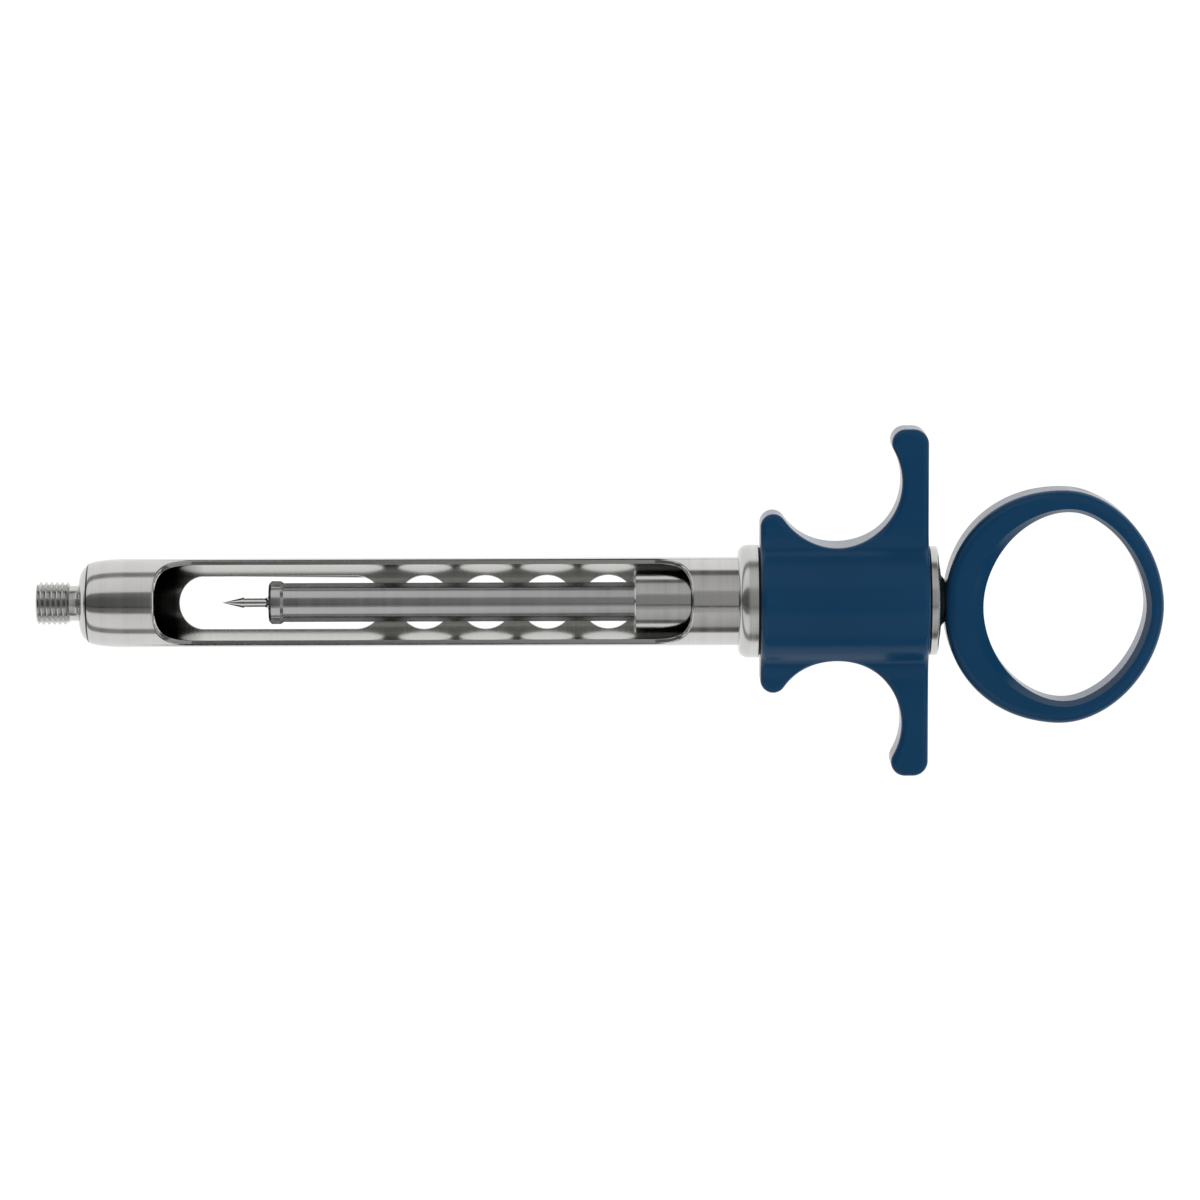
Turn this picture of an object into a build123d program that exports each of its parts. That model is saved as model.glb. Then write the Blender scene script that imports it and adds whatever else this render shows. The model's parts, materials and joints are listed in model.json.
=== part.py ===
from build123d import *
import math
import os

# Dental aspirating syringe, in millimetres.
# The syringe axis is X. The needle points along -X, the thumb ring is at the +X end, and the window
# of the barrel faces +Z. The origin is on the axis, at the shoulder that the needle hub screws up to.

# Fits
running_gap = 0.05          # radial gap of a part that slides or turns on another
stop_gap = 0.05             # axial gap left at a stop
seat_gap = 0.02             # radial gap between parts that are clamped together
cut_over = 1.0              # how far a cut runs past the face that it opens

# Needle adaptor
thread_radius = 2.985       # crests of the M6 x 0.75 needle thread
thread_length = 5.96
thread_chamfer = 0.4
relief_width = 0.45
relief_radius = 2.65
needle_bore_radius = 0.75
adaptor_face_radius = 3.9   # flat shoulder round the foot of the thread
adaptor_head_length = 1.12
adaptor_head_radius = 5.37
adaptor_spigot_radius = 4.5
adaptor_spigot_length = 6.9
cap_recess_radius = 3.95    # seat of the cartridge's metal cap
cap_recess_depth = 1.5

# Barrel
barrel_radius = 6.17
barrel_wall = 0.67
nose_length = 1.5           # rounded front edge of the barrel
bore_cone_length = 1.0
window_start = 10.4
window_length = 75.1
window_floor = 1.8          # height of the long cut faces above the axis
window_end_radius = 5.4
slot_width = 7.35
slot_setback = 3.1          # from the window's front end
slot_length = 28.5
view_hole_diameter = 7.4
view_hole_setback = 5.9     # first centre behind the slot
view_hole_pitch = 8.6
view_hole_count = 4

# Collar, grip washers and rear nut
collar_setback = 6.25       # from the window's rear end
collar_length = 2.85
collar_radius = 7.88
collar_bevel_length = 1.25
collar_lip = 0.35           # height of the collar's front edge above the barrel
washer_thickness = 0.2
front_washer_radius = 7.45
rear_washer_radius = 7.2
nut_flange_radius = 7.6
nut_flange_thickness = 1.56
nut_chamfer = 0.85
nut_rim = 0.2               # small bevel at the rim, before the chamfer
nut_dome_radius = 3.8
nut_dome_drop = 0.45
nut_plug_length = 5.4
nut_rear_wall = 1.7

# Finger grip
grip_core_radius = 9.0
grip_arm_thickness = 7.0
grip_blend_radius = 4.0
grip_edge_radius = 0.8
grip_span = 48.6
notch_radius = 9.0
notch_from_front = 10.66    # centre of each finger notch behind the front face
notch_height = 16.92        # centre of each finger notch above the axis
arm_width = 3.72            # along the axis, where the notch is deepest
bump_radius = 1.8
tip_inner_radius = 1.95
tip_outer_radius = 2.1
handle_turn = 7.5           # degrees that the grip and the ring stand turned against the window

# Plunger
harpoon_length = 6.6
harpoon_cone_length = 3.1
harpoon_barb_radius = 0.785
harpoon_stem_radius = 0.62
harpoon_flare_length = 0.75
harpoon_foot_radius = 1.5
harpoon_shank_radius = 0.8
harpoon_shank_length = 3.2
head_front = 26.4
head_radius = 3.0
head_length = 1.63
head_rim = 0.35
head_cone_length = 0.42
head_spigot_radius = 1.7
head_spigot_length = 4.5
rod_radius = 2.72
stud_radius = 1.9
stud_length = 4.0

# Sleeve that holds the cartridge, and its spring
sleeve_reach = 8.2          # how far the sleeve stands into the window
sleeve_radius = 4.385
sleeve_pocket_radius = 3.35
sleeve_pocket_depth = 9.5
sleeve_rim = 0.2
sleeve_tail_radius = 3.9
sleeve_tail_length = 5.5
guide_setback = 1.4         # from the window's rear end
guide_length = 4.3
clip_thickness = 0.8
clip_outer_radius = 5.15
clip_groove_radius = 4.05
spring_wire_radius = 0.4
spring_mean_radius = 4.6
spring_turns = 7
spring_wire_sides = 8       # the wire's section is drawn as a polygon
spring_seat_thickness = 1.0
spring_seat_gap = 0.25

# Packing round the rod, inside the nut
packing_radius = 3.9
oring_groove_width = 1.2
retainer_thickness = 1.0

# Thumb ring
ring_clearance = 0.47       # between the nut and the ring when the plunger is home
ring_thickness = 8.0
ring_length = 30.55
ring_widest_setback = 16.5  # widest place, from the ring's front
ring_half_width = 16.32
ring_lean = 2.1             # degrees that the ring leans sideways on the rod's end
ring_squareness_front = 2.12
ring_squareness_rear = 1.88
ring_edge_radius = 1.4
ring_front_band = 5.44      # width of the ring's band where the thumb bears
ring_rear_band = 2.41
ring_side_band = 3.06
thumb_hole_offset = 0.59    # widest place of the hole behind that of the ring
thumb_squareness_front = 1.89
thumb_squareness_rear = 1.78
thumb_saddle = 1.8          # width of the hole's bevel at its front
thumb_flare = 0.6           # width of the bevel elsewhere
bevel_start = 0.62          # height of the bevel's foot, in half thicknesses of the ring
bevel_end = 1.1             # height that its cutter ends at, in half thicknesses
outline_points = 24
buffer_radius = 3.6
buffer_recess = 0.15

# Places worked out from the sizes above
bore_radius = barrel_radius - barrel_wall
adaptor_rear = adaptor_head_length + adaptor_spigot_length
window_end = window_start + window_length
slot_start = window_start + slot_setback
slot_end = slot_start + slot_length
harpoon_tip = head_front - harpoon_length
head_rear = head_front + head_length
rod_front = head_rear + head_cone_length
collar_front = window_end + collar_setback
collar_rear = collar_front + collar_length
grip_length = notch_from_front + notch_radius + arm_width
grip_front = collar_rear + washer_thickness
grip_rear = grip_front + grip_length
nut_front = grip_rear + washer_thickness
nut_rear = nut_front + nut_flange_thickness
plug_front = nut_front - nut_plug_length
rod_hole_radius = rod_radius + running_gap
sleeve_front = window_end - sleeve_reach
guide_front = window_end + guide_setback
clip_front = guide_front + guide_length + stop_gap
clip_rear = clip_front + clip_thickness
sleeve_rear = clip_rear + sleeve_tail_length
spring_seat_front = plug_front - spring_seat_thickness
packing_rear = nut_rear - nut_rear_wall
retainer_rear = plug_front + retainer_thickness
bush_front = retainer_rear + oring_groove_width
ring_front = nut_rear + ring_clearance
ring_end = ring_front + ring_length
ring_widest = ring_front + ring_widest_setback
thumb_hole_front = ring_front + ring_front_band
thumb_hole_end = ring_end - ring_rear_band
thumb_hole_widest = ring_widest + thumb_hole_offset


def turned(points):
    """Solid of revolution about the X axis from (x, radius) corners."""
    outline = Polyline([(x, r) for x, r in points], close=True)
    return revolve(make_face(outline), Axis.X)


def disc(start, end, radius):
    """Plain cylinder along the X axis."""
    return extrude(Plane.YZ.offset(start) * Circle(radius), end - start)


def tube(start, end, outer, inner):
    """Plain tube along the X axis."""
    return extrude(Plane.YZ.offset(start) * (Circle(outer) - Circle(inner)), end - start)


def turn_handle(solid):
    """Turn a part of the handle about the syringe axis, upper side towards the window side."""
    return solid.rotate(Axis.X, handle_turn)


def needle_adaptor():
    """Threaded nose, domed head and the spigot that screws into the barrel."""
    with BuildSketch() as profile:
        with BuildLine():
            Polyline(
                (-thread_length, 0),
                (-thread_length, thread_radius - thread_chamfer),
                (-thread_length + thread_chamfer, thread_radius),
                (-relief_width, thread_radius),
                (-relief_width, relief_radius),
                (0, relief_radius),
                (0, adaptor_face_radius),
            )
            EllipticalCenterArc(
                (adaptor_head_length, adaptor_face_radius),
                adaptor_head_length,
                adaptor_head_radius - adaptor_face_radius,
                start_angle=90,
                arc_size=90,
            )
            Polyline(
                (adaptor_head_length, adaptor_head_radius),
                (adaptor_head_length, adaptor_spigot_radius),
                (adaptor_rear, adaptor_spigot_radius),
                (adaptor_rear, 0),
                (-thread_length, 0),
            )
        make_face()
    body = revolve(profile.sketch, Axis.X)
    body -= disc(-thread_length - cut_over, adaptor_rear + cut_over, needle_bore_radius)
    body -= disc(adaptor_rear - cap_recess_depth, adaptor_rear + cut_over, cap_recess_radius)
    return body


def window_cutter():
    """Everything above the window's floor, with a round end at each side."""
    height = 2 * barrel_radius
    side = RectangleRounded(window_end - window_start, 2 * height, window_end_radius)
    middle = (window_start + window_end) / 2
    plane = Plane(origin=(middle, -height, window_floor + height), x_dir=(1, 0, 0), z_dir=(0, 1, 0))
    return extrude(plane * side, 2 * height)


def rear_openings():
    """Long slot and row of round holes opposite the window."""
    depth = 2 * barrel_radius
    slot = Pos((slot_start + slot_end) / 2, 0) * SlotOverall(slot_length, slot_width)
    cutter = extrude(Plane.XY.offset(-depth) * slot, depth)
    for index in range(view_hole_count):
        place = slot_end + view_hole_setback + index * view_hole_pitch
        cutter += Pos(place, 0, -depth / 2) * Cylinder(view_hole_diameter / 2, depth)
    return cutter


def barrel():
    """Tube with a rounded nose, an open window and the rear openings."""
    with BuildSketch() as profile:
        with BuildLine():
            EllipticalCenterArc(
                (adaptor_head_length + nose_length, adaptor_head_radius),
                nose_length,
                barrel_radius - adaptor_head_radius,
                start_angle=90,
                arc_size=90,
            )
            Polyline(
                (adaptor_head_length + nose_length, barrel_radius),
                (grip_rear, barrel_radius),
                (grip_rear, bore_radius),
                (adaptor_rear + bore_cone_length, bore_radius),
                (adaptor_rear, adaptor_spigot_radius),
                (adaptor_head_length, adaptor_spigot_radius),
                (adaptor_head_length, adaptor_head_radius),
            )
        make_face()
    return revolve(profile.sketch, Axis.X) - window_cutter() - rear_openings()


def barrel_collar():
    """Bevelled ring that the grip is clamped against."""
    return turned([
        (collar_front, barrel_radius),
        (collar_front, barrel_radius + collar_lip),
        (collar_front + collar_bevel_length, collar_radius),
        (collar_rear, collar_radius),
        (collar_rear, barrel_radius),
    ])


def front_washer():
    return tube(collar_rear, grip_front, front_washer_radius, barrel_radius)


def rear_washer():
    return tube(grip_rear, nut_front, rear_washer_radius, bore_radius)


def grip_half_outline():
    """Upper half of the grip's outline, from the front face over the notch to the rear face."""
    notch = (grip_front + notch_from_front, notch_height)
    top = grip_span / 2

    bump_reach = notch_radius + bump_radius
    bump_x = grip_front + bump_radius
    bump = (bump_x, notch[1] - math.sqrt(bump_reach**2 - (notch[0] - bump_x) ** 2))
    bump_share = bump_radius / bump_reach
    bump_meets = tuple(b + (n - b) * bump_share for b, n in zip(bump, notch))

    tip_reach = notch_radius + tip_inner_radius
    tip_y = top - tip_inner_radius
    tip = (notch[0] + math.sqrt(tip_reach**2 - (tip_y - notch[1]) ** 2), tip_y)
    tip_share = tip_inner_radius / tip_reach
    tip_meets = tuple(t + (n - t) * tip_share for t, n in zip(tip, notch))

    outer = (grip_rear - tip_outer_radius, top - tip_outer_radius)
    slant = math.sqrt(0.5)
    bump_top = (bump[0], bump[1] + bump_radius)
    tip_side = (tip[0] - tip_inner_radius * slant, tip[1] + tip_inner_radius * slant)
    outer_side = (outer[0] + tip_outer_radius * slant, outer[1] + tip_outer_radius * slant)
    return [
        Line((grip_front, 0), (grip_front, bump[1])),
        ThreePointArc((grip_front, bump[1]), bump_top, bump_meets),
        ThreePointArc(bump_meets, (notch[0], notch[1] - notch_radius), tip_meets),
        ThreePointArc(tip_meets, tip_side, (tip[0], top)),
        Line((tip[0], top), (outer[0], top)),
        ThreePointArc((outer[0], top), outer_side, (grip_rear, outer[1])),
        Line((grip_rear, outer[1]), (grip_rear, 0)),
    ]


def finger_grip():
    """Round core with two arms, bored for the barrel."""
    upper = grip_half_outline()
    outline = Wire(upper + [edge.mirror(Plane.XZ) for edge in upper])
    plan = extrude(Plane.XY.offset(-grip_span / 2) * make_face(outline), grip_span)

    section = Circle(grip_core_radius) + Rectangle(grip_span, grip_arm_thickness)
    arm_roots = section.vertices().filter_by_position(Axis.X, -grip_core_radius, grip_core_radius)
    section = fillet(arm_roots, grip_blend_radius)
    body = plan & extrude(Plane.YZ.offset(grip_front - cut_over) * section, grip_length + 2 * cut_over)
    wall_seams = body.edges().filter_by(Axis.Z)
    body = fillet(body.edges() - wall_seams, grip_edge_radius)
    body -= disc(grip_front - cut_over, grip_rear + cut_over, barrel_radius + seat_gap)
    return turn_handle(body)


def rear_nut():
    """Cap nut that screws into the barrel and clamps the grip."""
    return turned([
        (plug_front, packing_radius),
        (plug_front, bore_radius),
        (nut_front, bore_radius),
        (nut_front, nut_flange_radius),
        (nut_rear - nut_dome_drop - nut_rim, nut_flange_radius - nut_rim),
        (nut_rear - nut_dome_drop, nut_flange_radius - nut_chamfer),
        (nut_rear, nut_dome_radius),
        (nut_rear, rod_hole_radius),
        (packing_rear, rod_hole_radius),
        (packing_rear, packing_radius),
    ])


def rod_bush():
    return tube(bush_front, packing_rear, packing_radius, rod_hole_radius)


def friction_oring():
    section_radius = (packing_radius - rod_hole_radius) / 2
    middle = (packing_radius + rod_hole_radius) / 2
    ring_x = retainer_rear + oring_groove_width / 2
    return Pos(ring_x, 0, 0) * Rot(0, 90, 0) * Torus(middle, section_radius)


def oring_retainer():
    return tube(plug_front, retainer_rear, packing_radius, rod_hole_radius)


def spring_seat():
    seat_bore = rod_hole_radius + running_gap
    return tube(spring_seat_front, plug_front, bore_radius - spring_seat_gap, seat_bore)


def sleeve_spring():
    """Compression spring between the sleeve's clip and the seat."""
    start = clip_rear + spring_wire_radius
    length = spring_seat_front - spring_wire_radius - start
    path = Helix(length / spring_turns, length, spring_mean_radius, center=(start, 0, 0), direction=(1, 0, 0))
    section = RegularPolygon(spring_wire_radius, spring_wire_sides)
    wire = Plane(origin=path @ 0, z_dir=path % 0) * section
    return sweep(wire, path=path, is_frenet=True)


def sleeve_guide():
    """Bush in the barrel that the sleeve slides in."""
    return tube(guide_front, guide_front + guide_length, bore_radius, sleeve_radius + running_gap)


def guide_sleeve():
    """Spring-loaded sleeve that presses on the cartridge and lets the plunger head back into it."""
    pocket_end = sleeve_front + sleeve_pocket_depth
    return turned([
        (sleeve_front, sleeve_pocket_radius + sleeve_rim),
        (sleeve_front, sleeve_radius - sleeve_rim),
        (sleeve_front + sleeve_rim, sleeve_radius),
        (clip_front, sleeve_radius),
        (clip_front, clip_groove_radius),
        (clip_rear, clip_groove_radius),
        (clip_rear, sleeve_tail_radius),
        (sleeve_rear, sleeve_tail_radius),
        (sleeve_rear, rod_hole_radius),
        (pocket_end, rod_hole_radius),
        (pocket_end, sleeve_pocket_radius),
        (sleeve_front + sleeve_rim, sleeve_pocket_radius),
    ])


def sleeve_clip():
    return tube(clip_front, clip_rear, clip_outer_radius, clip_groove_radius)


def plunger_rod():
    """Round rod with a threaded rear end and a hole for the head's spigot."""
    body = disc(rod_front, ring_front, rod_radius)
    body += disc(ring_front, ring_front + stud_length, stud_radius)
    body -= disc(rod_front, rod_front + head_spigot_length, head_spigot_radius)
    return body


def plunger_head():
    """Turned head that pushes the stopper, screwed into the rod."""
    body = turned([
        (head_front, 0),
        (head_front, head_radius - head_rim),
        (head_front + head_rim, head_radius),
        (head_rear, head_radius),
        (rod_front, rod_radius),
        (rod_front, head_spigot_radius),
        (rod_front + head_spigot_length, head_spigot_radius),
        (rod_front + head_spigot_length, 0),
    ])
    return body - disc(head_front, head_front + harpoon_shank_length, harpoon_shank_radius)


def harpoon():
    """Barbed point that hooks into the stopper."""
    barb_x = harpoon_tip + harpoon_cone_length
    with BuildSketch() as profile:
        with BuildLine():
            Polyline(
                (head_front, harpoon_foot_radius),
                (head_front, harpoon_shank_radius),
                (head_front + harpoon_shank_length, harpoon_shank_radius),
                (head_front + harpoon_shank_length, 0),
                (harpoon_tip, 0),
                (barb_x, harpoon_barb_radius),
                (barb_x, harpoon_stem_radius),
                (head_front - harpoon_flare_length, harpoon_stem_radius),
            )
            EllipticalCenterArc(
                (head_front - harpoon_flare_length, harpoon_foot_radius),
                harpoon_flare_length,
                harpoon_foot_radius - harpoon_stem_radius,
                start_angle=270,
                arc_size=90,
            )
        make_face()
    return revolve(profile.sketch, Axis.X)


def egg_outline(front, rear, widest, half_width, front_power, rear_power):
    """Closed smooth curve: two half superellipses that meet at the widest place."""
    points = []
    for index in range(outline_points):
        angle = 2 * math.pi * (index + 0.5) / outline_points
        across, up = math.cos(angle), math.sin(angle)
        reach, power = (rear - widest, rear_power) if across > 0 else (widest - front, front_power)
        x = widest + math.copysign(reach * abs(across) ** (2 / power), across)
        y = math.copysign(half_width * abs(up) ** (2 / power), up)
        points.append((x, y))
    return make_face(Spline(points, periodic=True))


def thumb_hole_cutter():
    """Straight hole with a bevel at both faces, widest at the front where the thumb bears."""
    levels = []
    for height in (-bevel_end, -bevel_start, bevel_start, bevel_end):
        opened = (abs(height) - bevel_start) / (1 - bevel_start)
        outline = egg_outline(
            thumb_hole_front - thumb_saddle * opened,
            thumb_hole_end + thumb_flare * opened,
            thumb_hole_widest,
            ring_half_width - ring_side_band + thumb_flare * opened,
            thumb_squareness_front,
            thumb_squareness_rear,
        )
        levels.append(Pos(0, 0, height * ring_thickness / 2) * outline)
    return loft(levels, ruled=True)


def thumb_ring():
    """Egg-shaped ring with rounded edges, a threaded hole for the rod and a seat for the washer."""
    outline = egg_outline(
        ring_front, ring_end, ring_widest, ring_half_width, ring_squareness_front, ring_squareness_rear
    )
    body = extrude(Plane.XY.offset(-ring_thickness / 2) * outline, ring_thickness)
    body = fillet(body.edges(), ring_edge_radius) - thumb_hole_cutter()
    rod_end = Pos(ring_front, 0, 0)
    body = rod_end * Rot(0, 0, -ring_lean) * rod_end.inverse() * body
    body -= disc(ring_front - cut_over, ring_front + stud_length + stop_gap, stud_radius + running_gap)
    body -= disc(ring_front - cut_over, ring_front + buffer_recess, buffer_radius + running_gap)
    return turn_handle(body)


def buffer_washer():
    """Soft washer that lands on the nut when the plunger is home."""
    return tube(nut_rear + stop_gap, ring_front + buffer_recess, buffer_radius, rod_hole_radius)


def main():
    nodes = [
        needle_adaptor, barrel, barrel_collar, front_washer, finger_grip, rear_washer, rear_nut,
        rod_bush, friction_oring, oring_retainer, spring_seat, sleeve_spring, sleeve_guide,
        guide_sleeve, sleeve_clip, plunger_rod, plunger_head, harpoon, thumb_ring, buffer_washer,
    ]
    os.makedirs("parts", exist_ok=True)
    for make in nodes:
        solid = make()
        solid.label = make.__name__
        export_step(solid, f"parts/{make.__name__}.step")


main()
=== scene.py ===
import json
import math

import bpy
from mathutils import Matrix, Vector


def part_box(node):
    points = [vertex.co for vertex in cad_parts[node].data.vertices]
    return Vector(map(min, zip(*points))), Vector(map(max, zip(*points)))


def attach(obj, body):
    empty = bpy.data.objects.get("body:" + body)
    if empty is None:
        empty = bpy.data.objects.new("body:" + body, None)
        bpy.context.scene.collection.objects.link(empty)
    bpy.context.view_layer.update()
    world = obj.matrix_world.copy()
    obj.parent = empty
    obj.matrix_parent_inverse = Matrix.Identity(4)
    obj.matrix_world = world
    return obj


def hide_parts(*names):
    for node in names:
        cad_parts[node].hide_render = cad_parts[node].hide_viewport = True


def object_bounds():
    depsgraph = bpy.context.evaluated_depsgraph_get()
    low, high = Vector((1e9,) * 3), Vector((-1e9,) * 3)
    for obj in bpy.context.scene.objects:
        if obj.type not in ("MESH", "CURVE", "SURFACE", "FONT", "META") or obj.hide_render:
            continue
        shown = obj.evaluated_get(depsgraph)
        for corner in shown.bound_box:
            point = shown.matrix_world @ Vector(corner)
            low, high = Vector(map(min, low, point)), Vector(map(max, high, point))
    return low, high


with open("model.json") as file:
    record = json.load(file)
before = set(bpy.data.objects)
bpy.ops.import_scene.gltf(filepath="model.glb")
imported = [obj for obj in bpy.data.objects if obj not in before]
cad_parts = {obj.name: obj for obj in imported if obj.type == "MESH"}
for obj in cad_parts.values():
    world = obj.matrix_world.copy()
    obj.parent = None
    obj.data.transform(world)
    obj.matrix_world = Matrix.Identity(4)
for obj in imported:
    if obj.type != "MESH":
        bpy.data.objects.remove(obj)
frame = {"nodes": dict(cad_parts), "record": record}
cad_low, cad_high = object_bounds()

MM = 0.001
MICRON = 0.001 * MM

# Camera: straight above the syringe, with a long lens
IMAGE_PIXELS = 1200
PIXELS_PER_MM = 7.17
CAMERA_HEIGHT = 0.795
CAMERA_X = 72.52 * MM
CAMERA_Y = 0.22 * MM
CAMERA_ROLL = math.radians(0.186)
SENSOR_WIDTH = 36.0
VIEW_DEPTH = 20

# Studio: a glowing white table under a white tent. Brightness is linear, angles are in degrees
TABLE_SIZE = 6.0
TABLE_DROP = 0.02 * MM
TABLE_BRIGHTNESS = 1.05
TENT_TINT = (1.0, 1.0, 1.02)
TENT_BRIGHTNESS = 1.05
BACKDROP_BRIGHTNESS = 1.0
TOP_GAP_BRIGHTNESS = 0.12
TOP_GAP_EDGE = 0.2
TOP_GAP_HALF_ANGLE = 27.0
TOP_SEAM_BRIGHTNESS = 0.03
REAR_GAP_BRIGHTNESS = 0.42
REAR_WALL_BRIGHTNESS = 0.52
REAR_SEAM_BRIGHTNESS = 0.02
SIDE_GAP_TOP = 72.0
SIDE_GAP_BOTTOM = 87.0
SIDE_GAP_BRIGHTNESS = 0.3
# Sockets of a Mix node that mixes colours
MIX_A = 6
MIX_B = 7
MIX_RESULT = 2
# The tent changes from its front to its rear pattern between these shares of the way along X
FRONT_END = -0.055
REAR_START = 0.012
FILL_STRENGTH = 1.1
FILL_TILT = 38.0
FILL_SPREAD = 60

# Turned parts
ROUND_STEPS = 128
THREAD_STEPS = 64
SMOOTH_ANGLE = math.radians(35)
WELD_GAP = 0.5 * MICRON

# Needle adaptor, in mm
NEEDLE_BORE = 0.75
THREAD_CREST = 2.985
THREAD_PITCH = 0.75
THREAD_DEPTH = 0.42
THREAD_TIP_BEVEL = 0.42
CREST_HALF_WIDTH = 0.06
RIDGE_SHARE = 0.99
NECK_START = -1.35
NECK_RADIUS = 2.45
DOME_RADIUS = 2.5
DOME_RIM = 5.2
HEAD_LENGTH = 1.12
CAP_RECESS_RADIUS = 3.95
CAP_RECESS_DEPTH = 1.5

# Barrel, in mm
BARREL_RADIUS = 6.17
BARREL_WALL = 0.67
NOSE_LENGTH = 5.4
NOSE_RADIUS = 5.33
SEAT_RADIUS = 4.5
SEAT_END = 8.02
BORE_START = 9.02
EDGE_BREAK = 0.16
WINDOW_START = 10.4
WINDOW_END = 85.5
WINDOW_FLOOR = 1.8
WINDOW_END_RADIUS = 5.4
SLOT_START = 13.5
SLOT_END = 42
SLOT_HALF_WIDTH = 3.675
SLOT_END_RADIUS = 3.67
HOLE_COUNT = 4
HOLE_START = 47.9
HOLE_SPACING = 8.6
HOLE_RADIUS = 3.7
CUT_REACH = 9
CUT_HEIGHT = 14
ALONG_Y = 1
ALONG_Z = 2

# Collar, nut and washer, in mm
COLLAR_BEVEL = 1.4
COLLAR_LIP = 0.55
NUT_FLANGE = 1.56
NUT_PLUG_RADIUS = 5.5
PACKING_RADIUS = 3.9
ROD_HOLE_RADIUS = 2.77
ROD_HOLE_LENGTH = 1.7
WASHER_RADIUS = 3.6
WASHER_REAR_RADIUS = 2.95
FINE_BREAK = 0.1

# Colours, linear
BLUE_DEEP = (0.0052, 0.0480, 0.117)
BLUE_LIGHT = (0.0066, 0.0535, 0.129)
RUBBER_DARK = (0.008, 0.008, 0.009)
RUBBER_LIGHT = (0.018, 0.018, 0.019)
POLYMER_DARK = (0.74, 0.74, 0.71)
POLYMER_LIGHT = (0.83, 0.83, 0.81)
# Bore colours: painted shade for the closed front end, and the steel's own colour behind it
BORE_PAINTED_SHADE = (0.03, 0.03, 0.028)
BORE_LIT = (0.53, 0.53, 0.51)

# Noise below the start gives a finish's darkest tint, above the end its lightest
TINT_START = 0.3
TINT_END = 0.7

# Surface marks, as waves for each metre
BROAD_MARKS = 900
FINE_MARKS = 6000
BROAD_WANDER = 25
FINE_WANDER = 40
BLUE_CLOUD = 70.0
BLUE_GRAIN = 2600.0
RUBBER_GRAIN = 3500.0

# Where the bore's painted shade gives way to its lit colour along X
BORE_PAINTED_SHADE_END = 12.8 * MM
BORE_LIT_START = 17.2 * MM


def deselect_all():
    for thing in bpy.context.selected_objects:
        thing.select_set(False)
    bpy.context.view_layer.objects.active = None


def pick(thing):
    """Make one object the only selected and active one."""
    deselect_all()
    thing.select_set(True)
    bpy.context.view_layer.objects.active = thing


def apply_modifier(thing, kind, **settings):
    pick(thing)
    modifier = thing.modifiers.new(kind.title(), kind)
    for key, value in settings.items():
        setattr(modifier, key, value)
    bpy.ops.object.modifier_apply(modifier=modifier.name)


def clean_surface(thing):
    """Weld doubled points and turn all faces outwards."""
    pick(thing)
    bpy.ops.object.mode_set(mode="EDIT")
    bpy.ops.mesh.select_all(action="SELECT")
    bpy.ops.mesh.remove_doubles(threshold=WELD_GAP)
    bpy.ops.mesh.normals_make_consistent(inside=False)
    bpy.ops.object.mode_set(mode="OBJECT")


def draw_profile(name, points):
    """One point is put down, then extruded along the (x, radius) corners, in millimetres."""
    deselect_all()
    bpy.ops.mesh.primitive_plane_add(size=MM, location=(0, 0, 0))
    thing = bpy.context.object
    thing.name = name
    bpy.ops.object.mode_set(mode="EDIT")
    bpy.ops.mesh.select_mode(type="VERT")
    bpy.ops.mesh.select_all(action="SELECT")
    bpy.ops.mesh.merge(type="CENTER")
    here = Vector((0, 0, 0))
    first = Vector((points[0][0] * MM, 0, points[0][1] * MM))
    bpy.ops.transform.translate(value=first - here)
    here = first
    for x, radius in points[1:]:
        there = Vector((x * MM, 0, radius * MM))
        bpy.ops.mesh.extrude_region_move(TRANSFORM_OT_translate={"value": there - here})
        here = there
    bpy.ops.object.mode_set(mode="OBJECT")
    return thing


def turn_profile(name, points, steps=ROUND_STEPS):
    """A turned part: its profile spun once about the syringe's axis."""
    thing = draw_profile(name, points)
    bpy.ops.object.mode_set(mode="EDIT")
    bpy.ops.mesh.select_all(action="SELECT")
    bpy.ops.mesh.spin(steps=steps, angle=2 * math.pi, center=(0, 0, 0), axis=(1, 0, 0))
    bpy.ops.object.mode_set(mode="OBJECT")
    clean_surface(thing)
    return thing


def smooth(thing):
    """Smooth shading that small edge faces don't pull off the large ones."""
    pick(thing)
    bpy.ops.object.shade_smooth_by_angle(angle=SMOOTH_ANGLE)
    apply_modifier(thing, "WEIGHTED_NORMAL", mode="FACE_AREA", weight=100, keep_sharp=True)


def arc(centre_x, centre_r, reach_x, reach_r, start, end, count=8):
    """Points of an elliptical arc in a profile, from one angle to another in degrees."""
    points = []
    for index in range(count + 1):
        angle = math.radians(start + (end - start) * index / count)
        points.append((centre_x + reach_x * math.cos(angle), centre_r + reach_r * math.sin(angle)))
    return points


def box_mm(node):
    low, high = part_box(node)
    return low / MM, high / MM


# Materials


def new_material(name):
    material = bpy.data.materials.new(name)
    material.use_nodes = True
    return material, material.node_tree.nodes, material.node_tree.links


def add_node(nodes, kind, **settings):
    node = nodes.new(kind)
    for key, value in settings.items():
        setattr(node, key, value)
    return node


def maths(nodes, links, operation, first, second):
    node = add_node(nodes, "ShaderNodeMath", operation=operation)
    for socket, value in zip(node.inputs, (first, second)):
        if isinstance(value, (int, float)):
            socket.default_value = value
        else:
            links.new(value, socket)
    return node.outputs[0]


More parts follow.
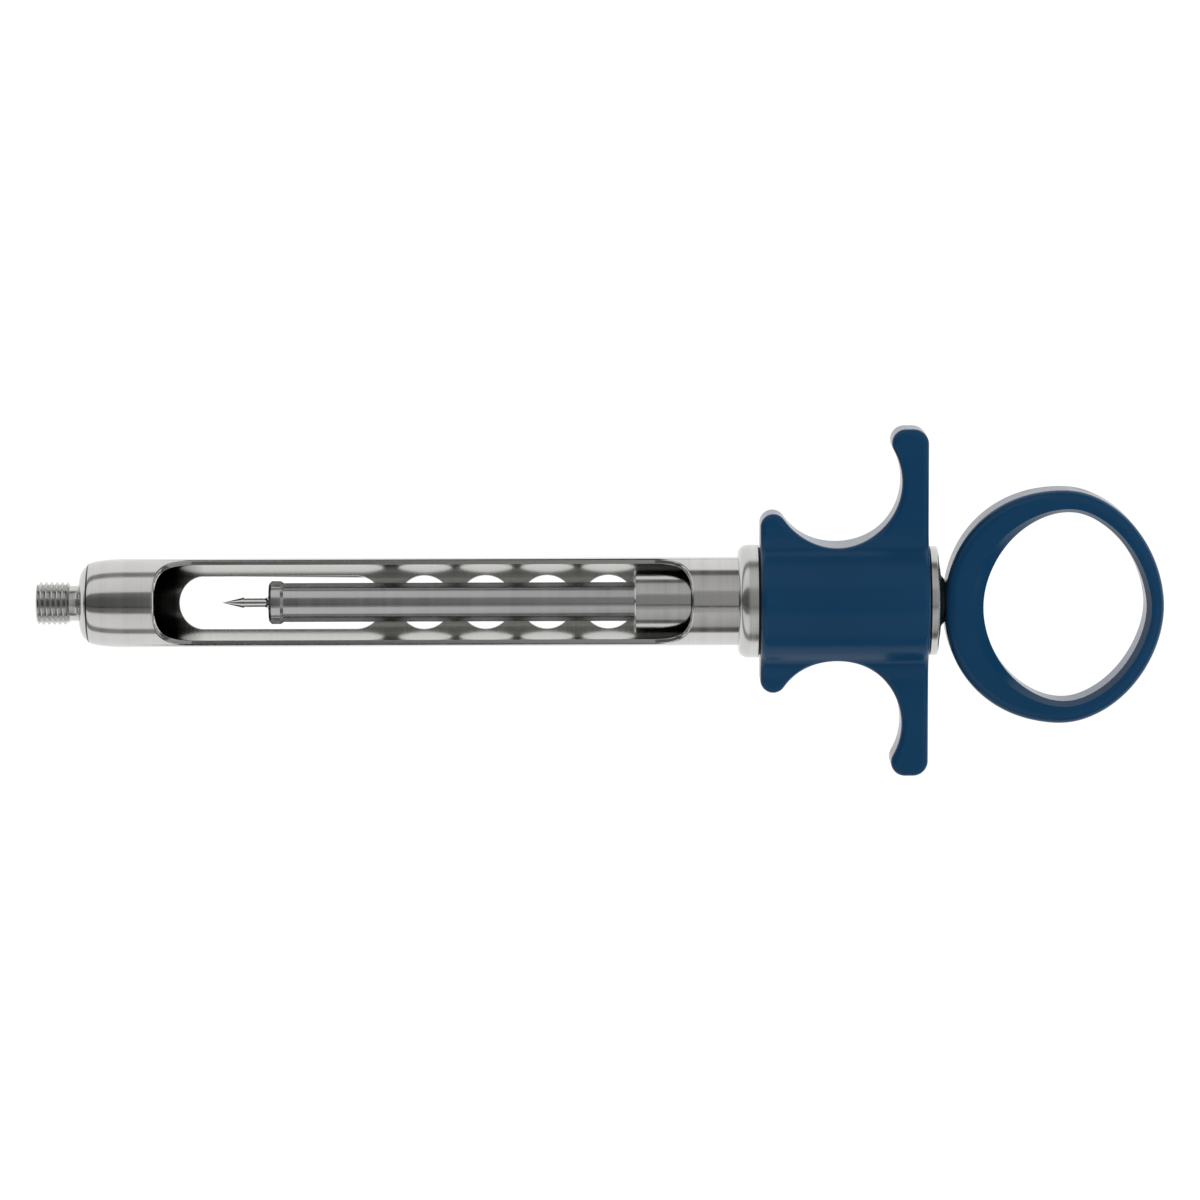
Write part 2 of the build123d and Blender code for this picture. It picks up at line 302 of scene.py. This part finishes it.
def turned_coordinates(nodes, links, along, outwards, around):
    """A place on a turned part: along the axis, out from it, and a little of the way round."""
    place = add_node(nodes, "ShaderNodeTexCoord").outputs["Object"]
    split = add_node(nodes, "ShaderNodeSeparateXYZ")
    links.new(place, split.inputs[0])
    y_squared = maths(nodes, links, "MULTIPLY", split.outputs["Y"], split.outputs["Y"])
    z_squared = maths(nodes, links, "MULTIPLY", split.outputs["Z"], split.outputs["Z"])
    radius = maths(nodes, links, "SQRT", maths(nodes, links, "ADD", y_squared, z_squared), 0)
    join = add_node(nodes, "ShaderNodeCombineXYZ")
    links.new(maths(nodes, links, "MULTIPLY", split.outputs["X"], along), join.inputs["X"])
    links.new(maths(nodes, links, "MULTIPLY", radius, outwards), join.inputs["Y"])
    slant = maths(nodes, links, "ADD", split.outputs["Y"], split.outputs["Z"])
    links.new(maths(nodes, links, "MULTIPLY", slant, around), join.inputs["Z"])
    return join.outputs[0]


def fine_marks(nodes, links):
    return turned_coordinates(nodes, links, FINE_MARKS, FINE_MARKS, FINE_WANDER)


def add_noise(nodes, links, vector, scale, detail=2.0):
    noise = add_node(nodes, "ShaderNodeTexNoise")
    noise.inputs["Scale"].default_value = scale
    noise.inputs["Detail"].default_value = detail
    links.new(vector, noise.inputs["Vector"])
    return noise.outputs["Fac"]


def add_range(nodes, links, source, low, high, source_low=TINT_START, source_high=TINT_END):
    node = add_node(nodes, "ShaderNodeMapRange")
    links.new(source, node.inputs["Value"])
    node.inputs["From Min"].default_value = source_low
    node.inputs["From Max"].default_value = source_high
    node.inputs["To Min"].default_value = low
    node.inputs["To Max"].default_value = high
    return node.outputs["Result"]


def add_tint(nodes, links, source, dark, light):
    ramp = add_node(nodes, "ShaderNodeValToRGB")
    ramp.color_ramp.elements[0].position = TINT_START
    ramp.color_ramp.elements[1].position = TINT_END
    ramp.color_ramp.elements[0].color = (*dark, 1)
    ramp.color_ramp.elements[1].color = (*light, 1)
    links.new(source, ramp.inputs["Fac"])
    return ramp.outputs["Color"]


def add_bump(nodes, links, height, distance, strength=1.0):
    bump = add_node(nodes, "ShaderNodeBump")
    bump.inputs["Strength"].default_value = strength
    bump.inputs["Distance"].default_value = distance
    links.new(height, bump.inputs["Height"])
    return bump.outputs["Normal"]


def turned_steel(name, colour, roughness, lines_per_mm, line_depth_um, contrast):
    """Stainless steel with fine lines round the part and broader tool marks under them."""
    material, nodes, links = new_material(name)
    shader = nodes["Principled BSDF"]
    shader.inputs["Metallic"].default_value = 1.0
    line_rate = lines_per_mm / MM
    fine = turned_coordinates(nodes, links, line_rate, line_rate, FINE_WANDER)
    lines = add_noise(nodes, links, fine, 1.0, 3.0)
    marks = turned_coordinates(nodes, links, BROAD_MARKS, BROAD_MARKS, BROAD_WANDER)
    broad = add_noise(nodes, links, marks, 1.0)
    dark = [channel * (1 - contrast) for channel in colour]
    light = [min(1.0, channel * (1 + contrast)) for channel in colour]
    both = maths(nodes, links, "ADD", lines, broad)
    half = maths(nodes, links, "MULTIPLY", both, 0.5)
    links.new(add_tint(nodes, links, half, dark, light), shader.inputs["Base Color"])
    rough = add_range(nodes, links, broad, roughness * 0.85, roughness * 1.2)
    links.new(rough, shader.inputs["Roughness"])
    links.new(add_bump(nodes, links, lines, line_depth_um * MICRON), shader.inputs["Normal"])
    return material


def blue_coating():
    """Even dark blue coat over aluminium, satin with a faint gloss and a very fine grain."""
    material, nodes, links = new_material("blue_coating")
    shader = nodes["Principled BSDF"]
    place = add_node(nodes, "ShaderNodeTexCoord").outputs["Object"]
    cloud = add_noise(nodes, links, place, BLUE_CLOUD, 3.0)
    grain = add_noise(nodes, links, place, BLUE_GRAIN)
    links.new(add_tint(nodes, links, cloud, BLUE_DEEP, BLUE_LIGHT), shader.inputs["Base Color"])
    links.new(add_range(nodes, links, grain, 0.15, 0.21), shader.inputs["Roughness"])
    links.new(add_bump(nodes, links, grain, 1.5 * MICRON), shader.inputs["Normal"])
    shader.inputs["Specular IOR Level"].default_value = 0.14
    return material


def black_rubber():
    material, nodes, links = new_material("black_rubber")
    shader = nodes["Principled BSDF"]
    place = add_node(nodes, "ShaderNodeTexCoord").outputs["Object"]
    grain = add_noise(nodes, links, place, RUBBER_GRAIN, 3.0)
    tint = add_tint(nodes, links, grain, RUBBER_DARK, RUBBER_LIGHT)
    links.new(tint, shader.inputs["Base Color"])
    links.new(add_range(nodes, links, grain, 0.5, 0.7), shader.inputs["Roughness"])
    links.new(add_bump(nodes, links, grain, 10 * MICRON), shader.inputs["Normal"])
    return material


def white_polymer():
    material, nodes, links = new_material("white_polymer")
    shader = nodes["Principled BSDF"]
    grain = add_noise(nodes, links, fine_marks(nodes, links), 1.0)
    tint = add_tint(nodes, links, grain, POLYMER_DARK, POLYMER_LIGHT)
    links.new(tint, shader.inputs["Base Color"])
    links.new(add_range(nodes, links, grain, 0.42, 0.55), shader.inputs["Roughness"])
    links.new(add_bump(nodes, links, grain, 3 * MICRON), shader.inputs["Normal"])
    return material


def bore_painted_shade_steel():
    """Unpolished bore steel, with painted shade that makes its colour dark at the closed front end
    and brighter behind.
    """
    material, nodes, links = new_material("bore_painted_shade_steel")
    shader = nodes["Principled BSDF"]
    shader.inputs["Metallic"].default_value = 1.0
    place = add_node(nodes, "ShaderNodeTexCoord").outputs["Object"]
    split = add_node(nodes, "ShaderNodeSeparateXYZ")
    links.new(place, split.inputs[0])
    # Painted shade: the colour ramps along X from dark at the closed front end to bright behind
    along = add_range(nodes, links, split.outputs["X"], TINT_START, TINT_END,
                      BORE_PAINTED_SHADE_END, BORE_LIT_START)
    tint = add_tint(nodes, links, along, BORE_PAINTED_SHADE, BORE_LIT)
    links.new(tint, shader.inputs["Base Color"])
    marks = add_noise(nodes, links, fine_marks(nodes, links), 1.0)
    links.new(add_range(nodes, links, marks, 0.16, 0.26), shader.inputs["Roughness"])
    links.new(add_bump(nodes, links, marks, 0.8 * MICRON), shader.inputs["Normal"])
    return material


def dress(node, material):
    """Give a carried-over node its finish."""
    mesh = frame["nodes"][node].data
    mesh.materials.clear()
    mesh.materials.append(material)


# Needle adaptor


def thread_ridge(tip, end, crest, root):
    """Helical ridge, cut to the shape of the chamfered stem at both ends."""
    middle = tip - THREAD_PITCH
    half = THREAD_PITCH / 2 * RIDGE_SHARE
    inner = root - 0.3
    ridge = draw_profile("thread_ridge", [
        (middle - half, inner),
        (middle - half, root),
        (middle - CREST_HALF_WIDTH, crest),
        (middle + CREST_HALF_WIDTH, crest),
        (middle + half, root),
        (middle + half, inner),
        (middle - half, inner),
    ])
    turns = math.ceil((end - middle) / THREAD_PITCH) + 1
    apply_modifier(ridge, "SCREW", axis="X", angle=2 * math.pi, screw_offset=THREAD_PITCH * MM,
                   iterations=turns, steps=THREAD_STEPS, render_steps=THREAD_STEPS,
                   use_merge_vertices=True, merge_threshold=MICRON)
    pick(ridge)
    bpy.ops.object.mode_set(mode="EDIT")
    bpy.ops.mesh.select_all(action="SELECT")
    bpy.ops.mesh.remove_doubles(threshold=WELD_GAP)
    bpy.ops.mesh.fill_holes(sides=0)
    bpy.ops.mesh.normals_make_consistent(inside=False)
    bpy.ops.object.mode_set(mode="OBJECT")
    envelope = turn_profile("thread_envelope", [
        (tip, 0),
        (tip, crest - THREAD_TIP_BEVEL),
        (tip + 0.12, crest - THREAD_TIP_BEVEL / 2),
        (tip + THREAD_TIP_BEVEL, crest + 0.01),
        (end - 0.3, crest + 0.01),
        (end, root - 0.05),
        (end, 0),
    ], THREAD_STEPS)
    apply_modifier(ridge, "BOOLEAN", operation="INTERSECT", object=envelope, solver="EXACT")
    bpy.data.objects.remove(envelope)
    return ridge


def needle_adaptor(finish):
    """Hollow threaded stem with a neck, a domed head and a spigot that goes into the barrel."""
    low, high = box_mm("needle_adaptor")
    tip, end = low.x, high.x
    root = THREAD_CREST - THREAD_DEPTH
    core = turn_profile("threaded_nose", [
        (tip + 0.3, NEEDLE_BORE),
        (tip, NEEDLE_BORE + 0.25),
        (tip, root - 0.28),
        (tip + 0.28, root),
        (NECK_START - 0.25, root),
        (NECK_START, NECK_RADIUS),
        (-0.3, NECK_RADIUS),
        (0.02, NECK_RADIUS + 0.3),
        *arc(DOME_RADIUS + 0.02, NECK_RADIUS + 0.8, DOME_RADIUS, DOME_RADIUS, 180, 124.5, 12),
        (HEAD_LENGTH, DOME_RIM),
        (HEAD_LENGTH, SEAT_RADIUS),
        (end, SEAT_RADIUS),
        (end, CAP_RECESS_RADIUS),
        (end - CAP_RECESS_DEPTH, CAP_RECESS_RADIUS),
        (end - CAP_RECESS_DEPTH, NEEDLE_BORE),
        (tip + 0.3, NEEDLE_BORE),
    ])
    ridge = thread_ridge(tip, NECK_START, THREAD_CREST, root)
    deselect_all()
    ridge.select_set(True)
    core.select_set(True)
    bpy.context.view_layer.objects.active = core
    bpy.ops.object.join()
    smooth(core)
    core.data.materials.append(finish)
    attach(core, "barrel_and_grip")
    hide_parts("needle_adaptor")


# Barrel and the rings on it


def box_cutter(name, low, high, edge_axis, radius):
    """Block in millimetres, with the edges along one axis rounded."""
    deselect_all()
    middle = [(start + end) / 2 * MM for start, end in zip(low, high)]
    size = [(end - start) * MM for start, end in zip(low, high)]
    bpy.ops.mesh.primitive_cube_add(size=1, location=middle, scale=size)
    cutter = bpy.context.object
    cutter.name = name
    pick(cutter)
    bpy.ops.object.transform_apply(location=True, rotation=True, scale=True)
    bpy.ops.object.mode_set(mode="EDIT")
    bpy.ops.mesh.select_mode(type="EDGE")
    bpy.ops.mesh.select_all(action="DESELECT")
    bpy.ops.object.mode_set(mode="OBJECT")
    mesh = cutter.data
    for edge in mesh.edges:
        first, last = (mesh.vertices[index].co for index in edge.vertices)
        edge.select = abs((last - first).normalized()[edge_axis]) > 0.99
    bpy.ops.object.mode_set(mode="EDIT")
    bpy.ops.mesh.bevel(offset=radius * MM, segments=28, affect="EDGES")
    bpy.ops.object.mode_set(mode="OBJECT")
    return cutter


def hole_cutter(x, radius, depth):
    """Upright cylinder in millimetres, from the axis downwards."""
    deselect_all()
    bpy.ops.mesh.primitive_cylinder_add(vertices=96, radius=radius * MM, depth=depth * MM,
                                        location=(x * MM, 0, -depth / 2 * MM))
    cutter = bpy.context.object
    pick(cutter)
    bpy.ops.object.transform_apply(location=True, rotation=True, scale=True)
    return cutter


def cut(thing, cutter):
    apply_modifier(thing, "BOOLEAN", operation="DIFFERENCE", object=cutter, solver="EXACT")
    bpy.data.objects.remove(cutter)


def window_barrel(finish, bore_painted_shade_finish):
    """Tube with a narrowing nose, an open window, a slot and round holes, all with broken edges."""
    low, high = box_mm("barrel")
    outer = high.y
    bore = outer - BARREL_WALL
    nose_rise = outer - NOSE_RADIUS
    tube = turn_profile("windowed_tube", [
        (low.x, SEAT_RADIUS),
        *arc(low.x + NOSE_LENGTH, NOSE_RADIUS, NOSE_LENGTH, nose_rise, 180, 90, 16),
        (high.x, outer),
        (high.x, bore),
        (BORE_START, bore),
        (SEAT_END, SEAT_RADIUS),
        (low.x, SEAT_RADIUS),
    ])
    cut(tube, box_cutter("window_cutter", (WINDOW_START, -CUT_REACH, WINDOW_FLOOR),
                         (WINDOW_END, CUT_REACH, CUT_HEIGHT), ALONG_Y, WINDOW_END_RADIUS))
    cut(tube, box_cutter("slot_cutter", (SLOT_START, -SLOT_HALF_WIDTH, -CUT_REACH),
                         (SLOT_END, SLOT_HALF_WIDTH, 0), ALONG_Z, SLOT_END_RADIUS))
    for index in range(HOLE_COUNT):
        cut(tube, hole_cutter(HOLE_START + HOLE_SPACING * index, HOLE_RADIUS, CUT_REACH))
    clean_surface(tube)
    apply_modifier(tube, "BEVEL", width=EDGE_BREAK * MM, segments=3, limit_method="ANGLE",
                   angle_limit=math.radians(40), use_clamp_overlap=False)
    smooth(tube)
    tube.data.materials.append(finish)
    tube.data.materials.append(bore_painted_shade_finish)
    # Faces of the bore take the bore finish, which carries the painted shade at its front end
    for face in tube.data.polygons:
        reach = math.hypot(face.center.y, face.center.z) / MM
        if reach < bore + 0.05 and face.center.x / MM < high.x - 0.5:
            face.material_index = 1
    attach(tube, "barrel_and_grip")
    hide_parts("barrel")


def turned_piece(name, node, body, finish, points):
    """Turned piece that stands for a node."""
    piece = turn_profile(name, points)
    smooth(piece)
    piece.data.materials.append(finish)
    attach(piece, body)
    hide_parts(node)


def stop_collar(finish):
    """Ring on the barrel with a curved bevel at its front."""
    low, high = box_mm("barrel_collar")
    start, end, outer = low.x, high.x, high.y
    inner = BARREL_RADIUS
    bevel_foot = inner + COLLAR_LIP
    turned_piece("stop_collar", "barrel_collar", "barrel_and_grip", finish, [
        (start, inner),
        *arc(start + COLLAR_BEVEL, bevel_foot, COLLAR_BEVEL, outer - bevel_foot, 180, 96, 10),
        (start + COLLAR_BEVEL + 0.2, outer),
        (end - 0.12, outer),
        (end, outer - 0.12),
        (end, inner),
        (start, inner),
    ])


def cap_nut(finish):
    """Domed flange with a round shoulder, on a plug that holds the rod's packing."""
    low, high = box_mm("rear_nut")
    start, end, outer = low.x, high.x, high.y
    flange = end - NUT_FLANGE
    turned_piece("cap_nut", "rear_nut", "barrel_and_grip", finish, [
        (start, PACKING_RADIUS),
        (start, NUT_PLUG_RADIUS),
        (flange, NUT_PLUG_RADIUS),
        (flange, outer - FINE_BREAK),
        (flange + FINE_BREAK, outer),
        *arc(end - 0.75, outer - 0.4, 0.35, 0.4, 90, 10, 8),
        *arc(end - 1.0, 3.6, 1.0, 3.55, 62, 0, 14)[1:],
        (end, ROD_HOLE_RADIUS + FINE_BREAK),
        (end - FINE_BREAK, ROD_HOLE_RADIUS),
        (end - ROD_HOLE_LENGTH, ROD_HOLE_RADIUS),
        (end - ROD_HOLE_LENGTH, PACKING_RADIUS),
        (start, PACKING_RADIUS),
    ])


def stop_washer(finish):
    """Washer that narrows towards the ring."""
    low, high = box_mm("buffer_washer")
    start, end = low.x, high.x
    turned_piece("stop_washer", "buffer_washer", "ring", finish, [
        (start, ROD_HOLE_RADIUS),
        (start, WASHER_RADIUS - FINE_BREAK),
        (start + 0.08, WASHER_RADIUS),
        (start + 0.16, WASHER_RADIUS - 0.15),
        (end, WASHER_REAR_RADIUS),
        (end, ROD_HOLE_RADIUS),
        (start, ROD_HOLE_RADIUS),
    ])


# Studio


def add_camera():
    data = bpy.data.cameras.new("camera")
    data.sensor_width = SENSOR_WIDTH
    data.lens = PIXELS_PER_MM * CAMERA_HEIGHT / MM / IMAGE_PIXELS * SENSOR_WIDTH
    data.clip_end = VIEW_DEPTH
    camera = bpy.data.objects.new("camera", data)
    camera.location = (CAMERA_X, CAMERA_Y, CAMERA_HEIGHT)
    camera.rotation_euler = (0, 0, -CAMERA_ROLL)
    bpy.context.scene.collection.objects.link(camera)
    bpy.context.scene.camera = camera


def add_table():
    """White table top that glows evenly, so that the syringe casts hardly any shadow."""
    deselect_all()
    bpy.ops.mesh.primitive_plane_add(size=TABLE_SIZE, location=(0, 0, cad_low.z - TABLE_DROP))
    table = bpy.context.object
    table.name = "table"
    material, nodes, links = new_material("white_table")
    shader = nodes["Principled BSDF"]
    shader.inputs["Base Color"].default_value = (0.02, 0.02, 0.02, 1)
    shader.inputs["Roughness"].default_value = 1.0
    shader.inputs["Specular IOR Level"].default_value = 0.0
    shader.inputs["Emission Color"].default_value = (1, 1, 1, 1)
    shader.inputs["Emission Strength"].default_value = TABLE_BRIGHTNESS
    table.data.materials.append(material)


def ramp_of(nodes, stops):
    node = add_node(nodes, "ShaderNodeValToRGB")
    elements = node.color_ramp.elements
    while len(elements) < len(stops):
        elements.new(0.5)
    for element, (place, colour) in zip(elements, stops):
        element.position = place
        element.color = (*colour, 1)
    return node


def grey(value):
    return (value, value, value)


def add_tent():
    """White tent with a dark gap along its top and a dim one at the table."""
    world = bpy.data.worlds.new("tent")
    bpy.context.scene.world = world
    world.use_nodes = True
    nodes, links = world.node_tree.nodes, world.node_tree.links
    background = nodes["Background"]
    split = add_node(nodes, "ShaderNodeSeparateXYZ")
    links.new(add_node(nodes, "ShaderNodeTexCoord").outputs["Generated"], split.inputs[0])
    angle = maths(nodes, links, "ARCTAN2", split.outputs["Y"], split.outputs["Z"])
    share = maths(nodes, links, "ADD", maths(nodes, links, "DIVIDE", angle, 2 * math.pi), 0.5)

    def at(degrees):
        return 0.5 + degrees / 360

    wall = [TENT_BRIGHTNESS * channel for channel in TENT_TINT]
    front = ramp_of(nodes, [
        (at(-80), wall),
        (at(-TOP_GAP_HALF_ANGLE - 2), grey(0.92)),
        (at(-TOP_GAP_HALF_ANGLE), grey(TOP_GAP_EDGE)),
        (at(-13), grey(TOP_GAP_EDGE * 0.9)),
        (at(-12), grey(TOP_SEAM_BRIGHTNESS)),
        (at(-10), grey(TOP_SEAM_BRIGHTNESS)),
        (at(-9), grey(TOP_GAP_BRIGHTNESS)),
        (at(10), grey(TOP_GAP_BRIGHTNESS)),
        (at(TOP_GAP_HALF_ANGLE), grey(TOP_GAP_EDGE * 1.1)),
        (at(TOP_GAP_HALF_ANGLE + 2), grey(0.9)),
        (at(80), wall),
    ])
    rear = ramp_of(nodes, [
        (at(-100), wall),
        (at(-92), grey(REAR_WALL_BRIGHTNESS * 0.6)),
        (at(-34), grey(REAR_WALL_BRIGHTNESS * 1.15)),
        (at(-17), grey(REAR_WALL_BRIGHTNESS)),
        (at(-15), grey(REAR_SEAM_BRIGHTNESS)),
        (at(-13), grey(REAR_SEAM_BRIGHTNESS)),
        (at(-11), grey(REAR_GAP_BRIGHTNESS)),
        (at(24), grey(REAR_GAP_BRIGHTNESS)),
        (at(26), grey(REAR_WALL_BRIGHTNESS * 1.15)),
        (at(88), grey(REAR_WALL_BRIGHTNESS * 0.8)),
        (at(96), wall),
    ])
    links.new(share, front.inputs["Fac"])
    links.new(share, rear.inputs["Fac"])
    top = add_node(nodes, "ShaderNodeMix", data_type="RGBA")
    rear_share = add_range(nodes, links, split.outputs["X"], 0.0, 1.0, FRONT_END, REAR_START)
    links.new(rear_share, top.inputs["Factor"])
    links.new(front.outputs["Color"], top.inputs[MIX_A])
    links.new(rear.outputs["Color"], top.inputs[MIX_B])
    low = math.cos(math.radians(SIDE_GAP_BOTTOM))
    high = math.cos(math.radians(SIDE_GAP_TOP))
    gap = SIDE_GAP_BRIGHTNESS / TENT_BRIGHTNESS
    side = ramp_of(nodes, [
        (0.0, grey(1)),
        (low - 0.02, grey(0.8)),
        (low + 0.03, grey(gap)),
        (high - 0.03, grey(gap)),
        (high + 0.05, grey(1)),
    ])
    links.new(split.outputs["Z"], side.inputs["Fac"])
    tent = add_node(nodes, "ShaderNodeMix", data_type="RGBA", blend_type="MULTIPLY")
    tent.inputs["Factor"].default_value = 1.0
    links.new(top.outputs[MIX_RESULT], tent.inputs[MIX_A])
    links.new(side.outputs["Color"], tent.inputs[MIX_B])
    seen = add_node(nodes, "ShaderNodeMix", data_type="RGBA")
    backdrop_share = add_node(nodes, "ShaderNodeLightPath").outputs["Is Camera Ray"]
    links.new(backdrop_share, seen.inputs["Factor"])
    links.new(tent.outputs[MIX_RESULT], seen.inputs[MIX_A])
    seen.inputs[MIX_B].default_value = (*grey(BACKDROP_BRIGHTNESS), 1)
    links.new(seen.outputs[MIX_RESULT], background.inputs["Color"])


def add_fill():
    """Broad soft light from above that shows no highlight of its own."""
    data = bpy.data.lights.new("overhead_fill", "SUN")
    data.energy = FILL_STRENGTH
    data.angle = math.radians(FILL_SPREAD)
    fill = bpy.data.objects.new("overhead_fill", data)
    fill.rotation_euler = (0, math.radians(FILL_TILT), 0)
    fill.visible_glossy = False
    fill.visible_camera = False
    bpy.context.scene.collection.objects.link(fill)


add_camera()
add_table()
add_tent()
add_fill()

brushed_steel = turned_steel("brushed_steel", colour=(0.56, 0.55, 0.54), roughness=0.13,
                             lines_per_mm=9, line_depth_um=0.5, contrast=0.06)
fine_steel = turned_steel("turned_steel", colour=(0.56, 0.56, 0.545), roughness=0.2,
                          lines_per_mm=6, line_depth_um=1.2, contrast=0.08)
sleeve_steel = turned_steel("sleeve_steel", colour=(0.5, 0.5, 0.485), roughness=0.15,
                            lines_per_mm=9, line_depth_um=0.5, contrast=0.06)
rod_steel = turned_steel("rod_steel", colour=(0.46, 0.46, 0.46), roughness=0.17,
                         lines_per_mm=10, line_depth_um=0.5, contrast=0.07)
polished_steel = turned_steel("polished_steel", colour=(0.62, 0.62, 0.61), roughness=0.1,
                              lines_per_mm=9, line_depth_um=0.3, contrast=0.04)
spring_steel = turned_steel("spring_steel", colour=(0.55, 0.55, 0.54), roughness=0.25,
                            lines_per_mm=3, line_depth_um=0.8, contrast=0.12)
blue_metal = blue_coating()
black_seal = black_rubber()
white_bush = white_polymer()

FINISHES = {
    "brushed_steel": brushed_steel,
    "turned_steel": fine_steel,
    "sleeve_steel": sleeve_steel,
    "rod_steel": rod_steel,
    "polished_steel": polished_steel,
    "spring_steel": spring_steel,
    "blue_metal": blue_metal,
    "black_seal": black_seal,
    "white_bush": white_bush,
}
for part in frame["record"]["subparts"]:
    dress(part["node"], FINISHES[part["material_slot"]])

needle_adaptor(fine_steel)
window_barrel(brushed_steel, bore_painted_shade_steel())
stop_collar(fine_steel)
cap_nut(fine_steel)
stop_washer(black_seal)

bpy.context.scene.view_settings.view_transform = "Standard"
